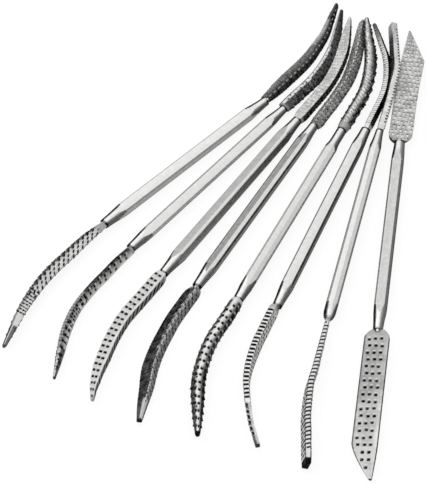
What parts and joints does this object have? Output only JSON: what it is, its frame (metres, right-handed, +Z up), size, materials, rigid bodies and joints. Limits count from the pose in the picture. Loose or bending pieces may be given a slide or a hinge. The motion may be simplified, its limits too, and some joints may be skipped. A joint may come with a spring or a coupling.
{
  "type": "riffler file",
  "caption": "Fan of double-ended rasp rifflers: square steel shanks with turned necks and curved, toothed heads of differing section.",
  "frame": {"origin": "on the bench, under the middle of the set's box", "axes": "+Z up from the bench; +X to the right and +Y away from the viewer, as in the picture"},
  "size_m": [0.1556, 0.2138, 0.0059],
  "materials": {
    "ground_steel": "bright ground shanks with fine grinding marks, darker between the raised rasp teeth"
  },
  "bodies": {
    "root": {"half_round_riffler": "ground_steel", "oval_riffler": "ground_steel", "square_riffler": "ground_steel", "three_square_riffler": "ground_steel", "round_riffler": "ground_steel", "pillar_riffler": "ground_steel", "flat_riffler": "ground_steel", "knife_riffler": "ground_steel"}
  },
  "joints": []
}
